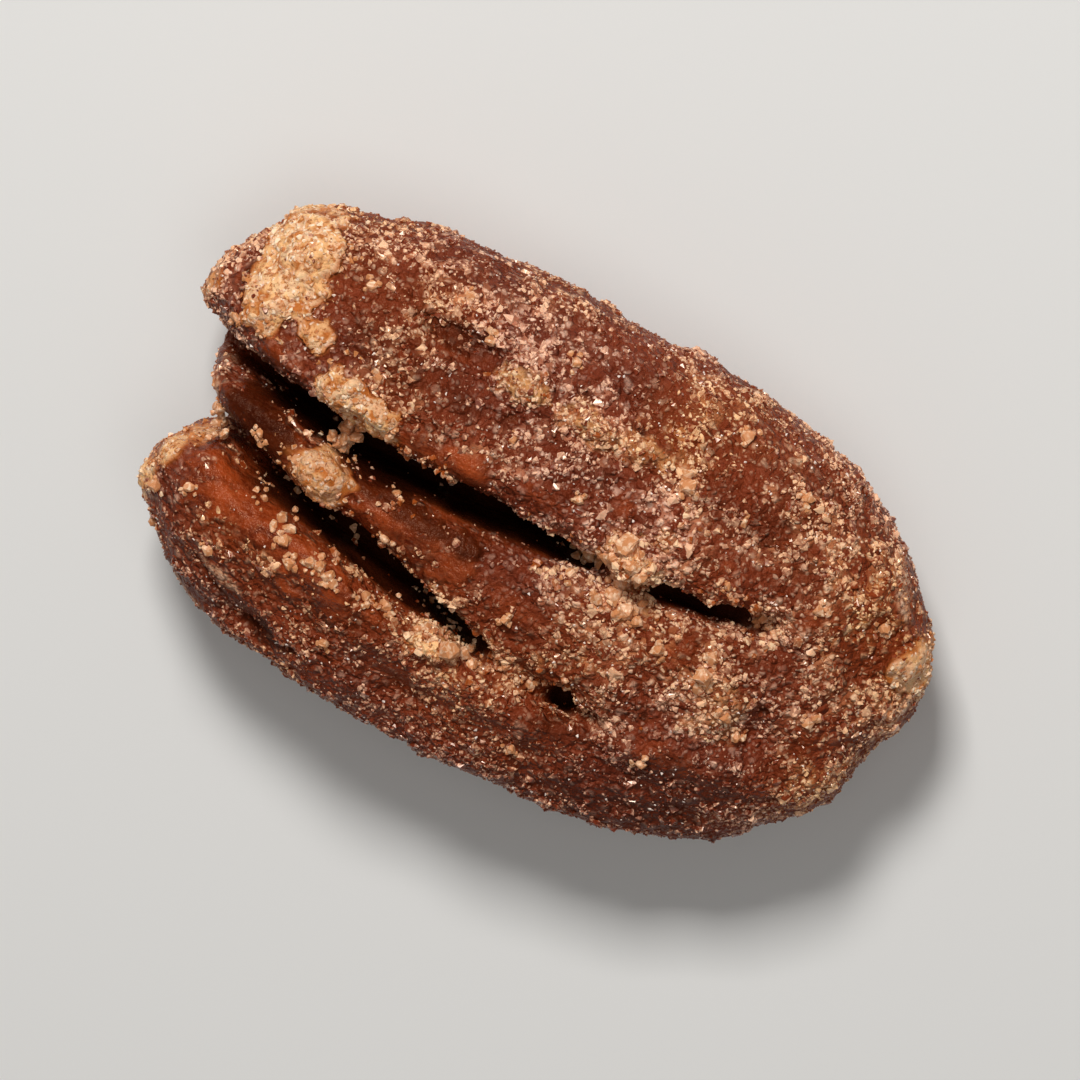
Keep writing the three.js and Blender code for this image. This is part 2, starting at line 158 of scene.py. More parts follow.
# Where the frost is paler than elsewhere: x, y, length, width, amount, turn
PALE_DRIFTS = [
    (-14.9, 4.3, 1.3, 2.4, 0.7, 0.0),
    (-12.6, 7.9, 3.0, 1.1, 0.5, 0.3),
    (-13.9, -4.9, 0.9, 1.9, 0.8, 0.2),
    (11.6, 5.0, 3.4, 2.4, 0.5, -0.4),
    (6.2, 7.8, 4.0, 1.0, 0.5, -0.15),
    (3.0, 4.9, 3.6, 1.8, 0.45, 0.0),
    (-3.2, 3.6, 2.4, 1.3, 0.45, 0.3),
    (14.6, 0.6, 1.3, 2.2, 0.5, 0.0),
    (4.8, 0.2, 2.0, 1.0, 0.5, 0.2),
    (8.8, -1.6, 2.8, 1.8, 0.5, 0.2),
    (1.8, -4.2, 2.6, 0.8, 0.5, 0.0),
    (-8.6, -4.3, 1.0, 0.5, 0.6, -0.2),
    (-1.0, -6.4, 3.2, 1.2, 0.3, 0.0),
    (-11.4, -5.0, 2.4, 0.9, 0.35, -0.3),
    (9.6, 0.9, 1.6, 0.7, 0.5, 0.1),
    (10.8, 3.4, 3.0, 2.4, 0.6, -0.2),
    (-3.0, 2.9, 2.6, 1.0, 0.3, 0.1),
    (-13.2, -0.2, 0.6, 1.2, 1.0, 0.0),
    (0.4, 5.9, 3.6, 1.3, 0.6, 0.0),
    (-4.6, 8.1, 5.0, 0.8, 0.7, 0.05),
    (4.4, 2.9, 3.4, 1.0, 0.5, -0.05),
    (8.6, 6.4, 3.4, 1.1, 0.6, -0.3),
    (-6.8, 3.7, 2.6, 0.9, 0.4, 0.1),
]

# Thin crusts along the rims, which look like the cakes but don't swell: x, y, length, width, thickness,
# turn, and how pale
RIM_CRUSTS = [
    (-14.0, -4.5, 1.2, 0.38, 0.0, 1.42, 0.9),
    (-13.6, -3.1, 0.9, 0.34, 0.0, 1.08, 0.85),
    (-12.9, -2.1, 0.8, 0.28, 0.0, 0.64, 0.7),
    (-14.9, 3.4, 1.0, 0.3, 0.0, 1.4, 0.6),
    (-13.9, 6.9, 1.3, 0.3, 0.0, 0.9, 0.6),
    (-13.3, -0.2, 0.9, 0.22, 0.0, 1.5, 0.6),
]

# Thin pale films of dried glaze: x, y, length, width, amount, turn
FILMS = [
    (-13.2, -0.3, 1.0, 0.4, 0.7, 1.5),
    (-15.3, 4.6, 1.6, 0.35, 0.7, 1.5),
    (-13.0, -6.4, 1.2, 0.25, 0.7, -0.95),
    (-10.9, -7.9, 1.7, 0.25, 0.6, -0.4),
    (-6.9, -8.7, 2.6, 0.2, 0.4, -0.1),
    (-9.9, -6.0, 1.0, 0.25, 0.5, -0.3),
    (15.5, 0.9, 1.2, 0.3, 0.5, 1.5),
    (13.6, 4.9, 1.8, 0.3, 0.4, -0.8),
]

# Where the glaze is thick and dark, and where shade is painted as darker glaze, as on the ridge's left end
# and sides and in a dent: x, y, length, width, amount, turn
DARK_GLAZE_AND_SHADE = [
    (-11.4, -0.2, 2.6, 1.5, 0.95, -0.1),
    (-5.0, -0.2, 5.4, 0.6, 0.8, -0.08),
    (-4.0, -1.2, 4.4, 1.4, 0.3, -0.15),
    (-11.0, 2.2, 3.0, 0.5, 0.7, -0.2),
    (-3.5, 1.9, 4.0, 0.4, 0.6, 0.0),
    (-13.6, 4.4, 0.6, 1.0, 0.8, 0.3),
    (-1.5, 2.5, 1.3, 0.5, 0.5, 0.0),
    (-5.8, 6.4, 2.0, 0.5, 0.6, 0.0),
    (-7.7, -7.5, 1.4, 0.5, 0.8, -0.2),
    (-9.6, -6.3, 2.6, 0.5, 0.45, -0.25),
    (7.2, 5.3, 1.5, 0.8, 0.4, -0.2),
    (1.0, 4.4, 1.2, 0.7, 0.35, 0.1),
    (5.4, -3.2, 2.4, 0.7, 0.35, 0.1),
    (-5.0, -5.4, 2.4, 0.5, 0.35, -0.2),
    (4.2, -5.2, 1.4, 0.6, 0.5, 0.1),
    (11.4, -3.4, 1.6, 1.0, 0.3, 0.2),
    (7.0, -7.5, 5.0, 1.4, 0.5, 0.15),
    (-7.4, 4.9, 3.0, 1.4, 0.45, 0.1),
    (-4.2, 4.5, 1.6, 0.6, 0.5, 0.1),
    (9.2, -5.2, 3.0, 1.4, 0.5, 0.3),
    (0.6, 3.4, 2.0, 0.6, 0.35, 0.1),
    (2.0, -2.4, 3.0, 0.6, 0.35, -0.1),
]

# Heaps of loose crystals, most of them in and beside the grooves: x, y, length, width, share, turn
HEAPS = [
    (4.2, 1.5, 1.4, 1.4, 1.0, 0.3),
    (2.3, 0.9, 0.9, 0.8, 0.5, 0.0),
    (-1.0, -4.2, 1.6, 0.8, 0.8, -0.2),
    (1.6, -4.3, 1.8, 0.8, 0.5, 0.0),
    (-6.2, -3.15, 0.5, 0.25, 1.0, -0.2),
    (-13.1, -0.9, 0.9, 0.35, 0.8, 1.2),
    (9.6, 1.6, 1.2, 0.7, 0.7, 0.2),
    (5.4, 4.6, 1.0, 0.7, 0.35, 0.0),
    (-12.4, 1.5, 0.7, 0.4, 0.8, -0.3),
    (-9.4, 0.45, 0.8, 0.12, 0.6, -0.1),
]

# Small pits in the crust, painted dark inside as painted shade: x, y, length, width, depth, turn
PITS = [
    (-8.0, -7.45, 0.75, 0.3, 0.3, -0.2),
    (-6.3, -7.55, 0.6, 0.25, 0.25, 0.0),
    (-9.7, -6.7, 0.7, 0.2, 0.2, -0.4),
    (-10.6, -6.2, 0.5, 0.2, 0.18, -0.4),
    (-5.0, -7.0, 0.9, 0.18, 0.15, 0.0),
    (-2.6, 4.9, 0.4, 0.3, 0.2, 0.0),
    (-0.6, 6.9, 0.5, 0.2, 0.2, 0.1),
    (1.9, 6.6, 0.35, 0.25, 0.25, 0.0),
    (3.3, 4.3, 0.5, 0.2, 0.2, 0.2),
    (8.4, 5.8, 0.4, 0.25, 0.2, -0.3),
    (5.0, -4.3, 0.5, 0.3, 0.3, 0.1),
    (6.9, -3.3, 0.45, 0.3, 0.2, 0.2),
    (10.8, -1.1, 0.5, 0.25, 0.2, 0.3),
]

# Single coarse crystals: x, y, size
CRYSTALS = [
    (1.8, 1.0, 0.6), (2.4, 1.0, 0.7), (2.0, 0.4, 0.5), (3.8, 0.4, 0.7), (4.5, 0.2, 0.65), (5.0, 0.0, 0.5),
    (3.3, 0.1, 0.5), (3.4, 2.65, 0.95), (4.3, 1.9, 0.6), (4.9, 1.5, 0.55), (3.9, 0.9, 0.6),
    (2.9, 1.9, 0.5), (4.9, 0.6, 0.45), (-0.8, -4.3, 0.9), (-1.9, -4.1, 0.5), (0.2, -4.6, 0.5),
    (1.4, -4.0, 0.45), (2.5, -4.3, 0.4), (8.2, -0.65, 0.9), (6.2, -0.65, 0.55), (4.4, 5.6, 0.7),
    (9.6, -1.8, 0.5), (10.3, -2.5, 0.45), (-3.7, -4.0, 0.5), (-4.5, -3.9, 0.4), (-6.9, -3.65, 0.45),
    (-6.5, -3.7, 0.5), (-6.1, -3.8, 0.5), (-5.8, -3.95, 0.4), (-9.6, -2.75, 0.35), (-10.0, -2.65, 0.3),
    (-8.65, -2.95, 0.5), (-8.15, -3.5, 0.5), (-7.6, -4.1, 0.5), (-8.15, -3.1, 0.45), (-10.8, -0.35, 0.4),
    (-10.6, -0.75, 0.35), (-9.1, -0.5, 0.45), (-4.8, -1.6, 0.4), (-2.2, 4.2, 0.4), (-11.2, 1.9, 0.45),
    (6.9, 5.2, 0.45), (1.0, 3.4, 0.4), (-4.6, 7.0, 0.45), (0.6, -2.2, 0.4), (12.5, -0.8, 0.45),
    (10.9, 3.4, 0.45), (-10.6, -5.3, 0.45), (-5.1, -6.4, 0.45), (3.0, -6.9, 0.45), (7.6, -5.0, 0.45),
    (-13.6, 3.1, 0.45), (-9.5, 6.7, 0.45), (-6.1, 7.9, 0.4), (8.6, 6.9, 0.5), (13.4, 3.6, 0.45),
    (-1.4, 7.6, 0.45), (5.6, 7.9, 0.5), (-12.3, -3.6, 0.4), (-13.5, -4.4, 0.5), (-13.0, -6.0, 0.45),
    (9.2, 1.9, 0.5), (9.9, 1.7, 0.4), (7.4, 2.9, 0.4), (-7.7, 3.9, 0.4), (-6.4, 2.2, 0.45),
    (-9.3, 2.2, 0.4), (-5.2, 0.0, 0.4),
]

# The clots of sugar that span the upper groove and the lower groove's mouth: x, y, z, size of each crystal
CLOT = [
    (-8.15, 1.5, 6.9, 0.6), (-7.8, 1.35, 6.9, 0.55), (-8.1, 1.05, 6.7, 0.55), (-7.75, 0.9, 6.7, 0.5),
    (-8.05, 0.65, 6.6, 0.5), (-7.8, 0.5, 6.5, 0.5), (-7.95, 0.25, 6.6, 0.5), (-8.1, 0.0, 6.8, 0.5),
    (-12.65, -0.65, 5.9, 0.45), (-12.5, -1.0, 5.7, 0.45), (-12.45, -1.3, 5.6, 0.45),
    (-12.35, -1.6, 5.7, 0.45),
]


def smoothstep(low, high, value):
    t = np.clip((value - low) / (high - low), 0.0, 1.0)
    return t * t * (3.0 - 2.0 * t)


def hump(value, centre, reach):
    """1 at the centre, fading to 0 at the reach on both sides."""
    return 1.0 - smoothstep(0.0, reach, np.abs(value - centre))


def smooth_min(a, b, radius):
    overlap = np.maximum(radius - np.abs(a - b), 0.0) / radius
    return np.minimum(a, b) - overlap * overlap * radius / 4.0


def smooth_max(a, b, radius):
    return -smooth_min(-a, -b, radius)


def plump_body(x, y, z):
    """The body before anything is cut from it. Each quadrant of its outline is a superellipse."""
    base, full, crown = x < WIDEST_X, y > 0, z > RIM_HEIGHT

    def quadrant(table):
        ends = [np.where(full, table[f"{end} full"], table[f"{end} slim"]) for end in ("base", "tip")]
        return np.where(base, *ends)

    reach, power = quadrant(REACH), quadrant(POWER)
    half_width = np.where(full, HALF_WIDTH_FULL, HALF_WIDTH_SLIM)
    height = np.where(crown, CROWN, BELLY)
    profile = np.where(crown, CROWN_POWER, BELLY_POWER)
    u = np.abs(x - WIDEST_X) / reach
    v = np.abs(y) / half_width
    w = np.abs(z - RIM_HEIGHT) / height
    plan = np.maximum((u ** power + v ** power) ** (1.0 / power), 0.05)
    level = (plan ** profile + w ** profile) ** (1.0 / profile)
    outward = level ** (1.0 - profile)
    across = outward * plan ** (profile - power)
    slope = np.sqrt(
        (across * u ** (power - 1.0) / reach) ** 2
        + (across * v ** (power - 1.0) / half_width) ** 2
        + (outward * w ** (profile - 1.0) / height) ** 2
    )
    return (level - 1.0) / slope


def upper_groove(x):
    """The course, floor height and half width of the groove beside the fuller lobe."""
    bulge = 0.05 + 0.23 * hump(x, -6, 5.5)
    course = 0.95 + 0.0062 * (x + 3.0) ** 2 - bulge
    floor = (
        3.3 + 1.4 * smoothstep(-13, 1, x) + 2.2 * smoothstep(0, 10, x) + 2.4 * smoothstep(9.2, 11.6, x)
        + 2.3 * hump(x, 3.4, 2.6)
    )
    half_width = 0.56 - 0.2 * smoothstep(-14, -9, x) - 0.14 * smoothstep(4, 10, x) + bulge
    return course, floor, half_width


def lower_groove(x):
    """The same for the groove beside the slimmer lobe."""
    course = (
        -4.55 + smooth_max(0.0 * x, -0.285 * (x - 1.2), 1.2) - 0.42 * (1.0 - smoothstep(-10.5, -3, x))
        + 0.15 * hump(x, -2.5, 2.5) + 0.1 * hump(x, 3.9, 0.9)
    )
    floor = (
        3.3 + 1.3 * smoothstep(-13, -3, x) + 3.0 * smoothstep(-3, 7, x) + 1.9 * smoothstep(5, 8, x)
        + 1.9 * hump(x, 1.2, 3.0) - hump(x, 3.9, 1.0)
    )
    half_width = 0.34 + 0.21 * smoothstep(-12, -5, x) - 0.27 * smoothstep(-2, 6, x)
    half_width = half_width + 0.1 * (1.0 - smoothstep(-11, -8, x)) + 0.2 * hump(x, 3.9, 0.9)
    return course, floor, half_width


def groove(y, z, course, floor, half_width):
    wall = np.abs(y - course) - half_width - GROOVE_FLARE * np.maximum(z - floor, 0.0)
    return smooth_max(wall, floor - z, FLOOR_ROUNDING)


def ridge_dip(x, y, z):
    roof = RIDGE["roof"] - RIDGE["drop"] * (1.0 - smoothstep(-13, -3, x))
    wall = np.abs(y + 0.3 + 0.1 * (x + 12.0)) - RIDGE["half_width"]
    return smooth_max(wall, roof - z, RIDGE["rounding"])


def trough(x, y, z):
    seam = TROUGH["seam"] * np.exp(-(((y - TROUGH["y"]) / TROUGH["seam_width"]) ** 2))
    roof = TROUGH["top"] - seam - 2.6 * smoothstep(3, 12, x)
    wall = np.abs(y - TROUGH["y"]) - TROUGH["half_width"] * (1.0 - 0.35 * smoothstep(2, 11, x))
    return smooth_max(wall, z - roof, TROUGH["rounding"])


def notch(x, y):
    u = (x - NOTCH["x"]) / NOTCH["reach"]
    v = (y - NOTCH["y"]) / NOTCH["half_width"]
    return (np.hypot(u, v) - 1.0) * NOTCH["half_width"]


def lobe_corner(x, y):
    """What is rounded off the inner corner of the slimmer lobe's end: the groove beside it opens there."""
    u = np.maximum(LOBE_END["x"] - x, 0.0) / LOBE_END["length"]
    v = np.maximum(y - LOBE_END["y"], 0.0) / LOBE_END["width"]
    inside_end = (np.hypot(u, v) - 1.0) * LOBE_END["width"]
    return np.maximum(-inside_end, y - lower_groove(x)[0])


def nose(x, y, z):
    u = (x - NOSE["x"]) / NOSE["length"]
    v = (y - NOSE["y"]) / NOSE["width"]
    w = (z - NOSE["z"]) / NOSE["height"]
    reach = np.sqrt(u * u + v * v + w * w)
    slope = np.sqrt((u / NOSE["length"]) ** 2 + (v / NOSE["width"]) ** 2 + (w / NOSE["height"]) ** 2)
    return reach * (reach - 1.0) / np.maximum(slope, 1e-6)


def wrinkles(x, y, z):
    drift = 0.9 * np.sin(0.31 * x + 0.6) + 0.5 * np.sin(0.73 * x + 0.4 * z)
    long = np.sin(1.55 * y + drift + 0.35 * z)
    cross = np.sin(0.62 * x + 0.8 * y + 1.1) * np.sin(0.47 * x - 0.9 * z + 0.5)
    fine = np.sin(3.1 * y + 1.3 * np.sin(0.8 * x) + 1.2 * z) * np.sin(0.9 * x + 0.7 * y)
    return 0.09 * long + 0.13 * cross + 0.05 * fine


def plan_reach(x, y, spot):
    """How far out of an oval spot a point lies in plan: 1 on its edge."""
    cx, cy, length, width, _, turn = spot[:6]
    dx, dy = x - cx, y - cy
    u = (dx * math.cos(turn) + dy * math.sin(turn)) / length
    v = (dy * math.cos(turn) - dx * math.sin(turn)) / width
    return np.hypot(u, v)


def swelling(x, y, z, spot):
    return spot[4] * (1.0 - smoothstep(0.1, 1.1, plan_reach(x, y, spot))) * smoothstep(2.2, 3.8, z)


def kernel(x, y, z):
    """Negative inside the kernel, about a distance in millimetres near its surface."""
    d = plump_body(x, y, z)
    d = smooth_max(d, -ridge_dip(x, y, z), RIDGE["lip"])
    d = smooth_max(d, -groove(y, z, *upper_groove(x)), LIP_ROUNDING)
    d = smooth_max(d, -groove(y, z, *lower_groove(x)), LIP_ROUNDING)
    d = smooth_max(d, -trough(x, y, z), TROUGH["rounding"])
    d = smooth_max(d, -notch(x, y), NOTCH["rounding"])
    d = smooth_max(d, -lobe_corner(x, y), NOTCH["rounding"])
    d = smooth_min(d, nose(x, y, z), NOSE["rounding"])
    d = d - wrinkles(x, y, z)
    for dent in DENTS:
        d = d + swelling(x, y, z, dent)
    for cake in CAKES + CRUMBLY_CAKES:
        d = d - swelling(x, y, z, cake)
    return d


def swells(points, scale, seed):
    """Smooth noise from -1 to 1 whose swells are about scale millimetres across."""
    lattice = np.random.default_rng(seed).uniform(-1.0, 1.0, (LATTICE, LATTICE, LATTICE))
    place = points / scale
    whole = np.floor(place).astype(int)
    part = place - whole
    part = part * part * (3.0 - 2.0 * part)
    total = np.zeros(len(points))
    for corner in itertools.product((0, 1), repeat=3):
        share = np.prod(np.where(corner, part, 1.0 - part), axis=1)
        i, j, k = ((whole + corner) % LATTICE).T
        total += share * lattice[i, j, k]
    return total


def slope_of(points, step=0.05):
    columns = []
    for axis in range(3):
        shift = np.zeros(3)
        shift[axis] = step
        columns.append(kernel(*(points + shift).T) - kernel(*(points - shift).T))
    return np.stack(columns, axis=1) / (2.0 * step)


def mesh_kernel():
    """Points and quads of the kernel's surface: a point in each grid cell that it crosses."""
    low = np.array([WIDEST_X - REACH["base full"], -HALF_WIDTH_SLIM, 0.0]) - MARGIN
    high = np.array([NOSE["x"] + NOSE["length"], HALF_WIDTH_FULL, RIM_HEIGHT + CROWN]) + MARGIN
    count = np.ceil((high - low) / CELL).astype(int) + 1
    steps = [low[a] + CELL * np.arange(count[a]) for a in range(3)]
    x, y, z = np.meshgrid(*steps, indexing="ij", sparse=True)
    values = kernel(x, y, z)

    cells = int(np.prod(count))
    flat = lambda index: (index[:, 0] * count[1] + index[:, 1]) * count[2] + index[:, 2]
    total, crossings, edges = np.zeros((cells, 3)), np.zeros(cells), []
    around = ((0, 0), (1, 0), (1, 1), (0, 1))
    for axis in range(3):
        near = np.take(values, range(count[axis] - 1), axis)
        far = np.take(values, range(1, count[axis]), axis)
        index = np.argwhere((near < 0) != (far < 0))
        a, b = near[tuple(index.T)], far[tuple(index.T)]
        crossing = index.astype(float)
        crossing[:, axis] += a / (a - b)
        corners = []
        for first, second in around:
            cell = index.copy()
            cell[:, (axis + 1) % 3] -= first
            cell[:, (axis + 2) % 3] -= second
            corners.append(flat(cell))
            crossings += np.bincount(corners[-1], minlength=cells)
            for c in range(3):
                total[:, c] += np.bincount(corners[-1], crossing[:, c], minlength=cells)
        quads = np.stack(corners, axis=1)
        edges.append(np.where((a < 0)[:, None], quads, quads[:, ::-1]))

    used = np.flatnonzero(crossings)
    points = low + CELL * total[used] / crossings[used, None]
    slope = slope_of(points)
    reach = kernel(*points.T)[:, None] * slope / np.maximum((slope ** 2).sum(1, keepdims=True), 0.2)
    points -= np.clip(reach, -0.5 * CELL, 0.5 * CELL)
    renumber = np.full(cells, -1)
    renumber[used] = np.arange(len(used))
    return points, renumber[np.concatenate(edges)]


def spots(points, table, low, high, ragged):
    """The strongest of a table's oval spots at every point, their edges frayed by the given noise."""
    x, y, z = points.T
    total = np.zeros(len(points))
    for spot in table:
        strength = spot[6] if len(spot) > 6 else spot[4]
        total = np.maximum(total, strength * (1.0 - smoothstep(low, high, plan_reach(x, y, spot) + ragged)))
    return total * smoothstep(2.2, 3.8, z)


def crust_height(points):
    """The swells of the crust, in millimetres: from knobs a millimetre across to single clots of crystals."""
    height = 0.05 * swells(points, 1.3, 7) + 0.11 * swells(points, 0.6, 8) + 0.08 * swells(points, 0.36, 9)
    return height + 0.05 * swells(points * (0.35, 1.0, 1.0), 0.7, 12)


def pits(points):
    return sum(swelling(*points.T, pit) for pit in PITS)


def masks(points):
    """Where the sugar lies and how it looks: each mask is from 0 to 1 at every point of the skin."""
    x, y, z = points.T
    ragged = 0.34 * swells(points, 0.9, 3) + 0.3 * swells(points, 0.4, 4)
    uncut = smooth_max(plump_body(x, y, z), -notch(x, y), NOTCH["rounding"])
    uncut = smooth_max(uncut, -lobe_corner(x, y), NOTCH["rounding"])
    groove_wall = np.minimum(groove(y, z, *upper_groove(x)), groove(y, z, *lower_groove(x)))
    on_back = smoothstep(2.2, 3.8, z)
    cake = spots(points, CAKES, 0.65, 1.2, 1.2 * ragged)
    rim_crust = spots(points, RIM_CRUSTS, 0.4, 1.3, 0.8 * ragged) * smoothstep(3.2, 4.6, z)
    cake = np.maximum(cake, rim_crust)
    fringe = np.maximum(spots(points, CAKES, 0.8, 1.5, 1.5 * ragged), rim_crust)
    crumbly = spots(points, CRUMBLY_CAKES, 0.5, 1.3, 1.4 * ragged)
    bare = spots(points, BARE_GLAZE, 0.4, 1.25, 1.6 * ragged)
    heap = spots(points, HEAPS, 0.5, 1.1, ragged)
    film = spots(points, FILMS, 0.4, 1.3, ragged) * smoothstep(3.4, 4.8, z)
    # Thick dark glaze, and painted shade on the ridge's left end and sides and in a dent; it also dims the
    # frost there
    dark = spots(points, DARK_GLAZE_AND_SHADE, 0.4, 1.2, ragged)
    drift = spots(points, PALE_DRIFTS, 0.3, 1.2, ragged)
    pit = np.minimum(4.0 * pits(points), 1.0)

    # How far a point lies below the uncut body: it thins the sugar in the grooves and paints shade there
    deep = smoothstep(0.9, 2.3, -uncut)
    lip = np.exp(-((groove_wall - 0.3) / 0.35) ** 2) * smoothstep(1.6, 0.5, -uncut) * on_back
    lip *= np.clip(1.6 * swells(points, 0.9, 14) - 0.1, 0.0, 1.0) * smoothstep(-9.5, -4.5, x)
    clumps = 0.8 * swells(points, 2.0, 5) + 0.7 * swells(points, 0.9, 6) + 5.5 * crust_height(points)
    clumps = smoothstep(-0.5, 0.7, clumps + 0.4 * drift - 0.6 * dark)
    # The lower flank faces away from the key light: its frost gets cooler, and less pale as painted shade
    lower_flank = smoothstep(-3.5, -7.5, y)
    open_skin = (1.0 - 0.9 * bare) * (1.0 - 0.96 * deep) * (1.0 - 0.9 * smoothstep(0.2, 0.6, cake))
    open_skin *= (1.0 - 0.5 * film) * (1.0 - 0.7 * pit)
    open_skin *= smoothstep(0.18, 0.45, z) * (0.4 + 0.6 * smoothstep(0.8, 2.4, z))
    warm = np.clip(0.4 + 0.8 * swells(points, 3.4, 15) + crumbly - 0.4 * lower_flank, 0.0, 1.0)
    # On the lower flank the frost is painted less pale: painted shade
    pale = 0.05 + 0.65 * clumps + 0.5 * drift + crumbly - 0.65 * lower_flank - 0.3 * dark
    dust = open_skin * (0.6 + 0.4 * clumps)
    return {
        "cake": cake,
        "fringe": fringe,
        "crumbly": crumbly,
        "deep": deep,
        "heap": np.maximum(lip, heap) * (1.0 - deep),
        "film": film,
        # The pits join the dark mask: painted shade in their hollows
        "dark": np.maximum(dark, pit),
        "dust": dust,
        "rosy_dust": dust * (1.0 - warm),
        "brown_dust": dust * warm,
        "frost": open_skin * (0.1 + 0.9 * clumps),
        "pale": np.clip(pale, 0.0, 1.0),
        "warm": warm,
    }


def make_object(name, mesh):
    piece = bpy.data.objects.new(name, mesh)
    bpy.context.scene.collection.objects.link(piece)
    return piece


def make_skin():
    points, quads = mesh_kernel()
    mask = masks(points)
    slope = slope_of(points)
    normal = slope / np.linalg.norm(slope, axis=1, keepdims=True)
    caked = mask["cake"] * (0.14 + 0.16 * swells(points, 0.7, 10) + 0.13 * swells(points, 0.36, 11))
    caked += mask["crumbly"] * (0.05 + 0.14 * swells(points, 0.45, 13))
    crust = crust_height(points) * (0.3 + 0.7 * mask["dust"]) + 0.12 * mask["film"] - pits(points)
    points = points + normal * (crust + caked)[:, None]
    points[:, 2] = np.where(points[:, 2] < PLANED_BELOW, 0.0, points[:, 2])

    mesh = bpy.data.meshes.new("nut_skin")
    mesh.vertices.add(len(points))
    mesh.vertices.foreach_set("co", ((points - CENTRE) * MM).ravel())
    mesh.loops.add(quads.size)
    mesh.loops.foreach_set("vertex_index", quads.ravel())
    mesh.polygons.add(len(quads))
    mesh.polygons.foreach_set("loop_start", np.arange(0, quads.size, 4))
    mesh.update(calc_edges=True)
    mesh.validate()
    mesh.polygons.foreach_set("use_smooth", np.ones(len(mesh.polygons), bool))
    for name, values in mask.items():
        mesh.attributes.new(name, "FLOAT", "POINT").data.foreach_set("value", values)
    return make_object("nut_skin", mesh)


def hull_crystal(name, seed, corners, blockiness, knobs):
    """A crystal about 1 across: the hull of a few points on a rounded block, knobbly if knobs is above 0.

    Six corners make a crooked octahedron.
    """
    rng = np.random.default_rng(seed)
    if corners == 6:
        spread = np.concatenate([np.eye(3), -np.eye(3)]) + rng.uniform(-0.3, 0.3, (6, 3))
    else:
        spread = rng.normal(size=(corners, 3))
        spread /= np.linalg.norm(spread, axis=1, keepdims=True)
        spread /= (np.abs(spread) ** blockiness).sum(1, keepdims=True) ** (1.0 / blockiness)
    spread *= 0.5 * np.array([1.0, rng.uniform(SLIMMEST, 1.0), rng.uniform(SLIMMEST, 1.0)])
    form = bmesh.new()
    for corner in spread:
        form.verts.new(corner)
    hull = bmesh.ops.convex_hull(form, input=form.verts)
    spare = [v for v in hull["geom_interior"] + hull["geom_unused"] if isinstance(v, bmesh.types.BMVert)]
    bmesh.ops.delete(form, geom=spare, context="VERTS")
    if knobs > 0.0:
        bmesh.ops.subdivide_edges(form, edges=form.edges, cuts=1, use_grid_fill=True)
        bmesh.ops.triangulate(form, faces=form.faces)
        for corner in form.verts:
            corner.co *= 1.0 + rng.uniform(-knobs, knobs)
    bmesh.ops.recalc_face_normals(form, faces=form.faces)
    mesh = bpy.data.meshes.new(name)
    form.to_mesh(mesh)
    form.free()
    # A random shade for each facet, which the sugar finishes use to paint glints
    shades = rng.uniform(0.0, 1.0, len(mesh.polygons))
    mesh.attributes.new("facet", "FLOAT", "FACE").data.foreach_set("value", shades)
    return bpy.data.objects.new(name, mesh)


def crystal_shapes(name, number, seed, corners, blockiness=4.0, knobs=0.0):
    shapes = bpy.data.collections.new(name)
    for i in range(number):
        shapes.objects.link(hull_crystal(f"{name}_{i}", seed + i, corners, blockiness, knobs))
    return shapes


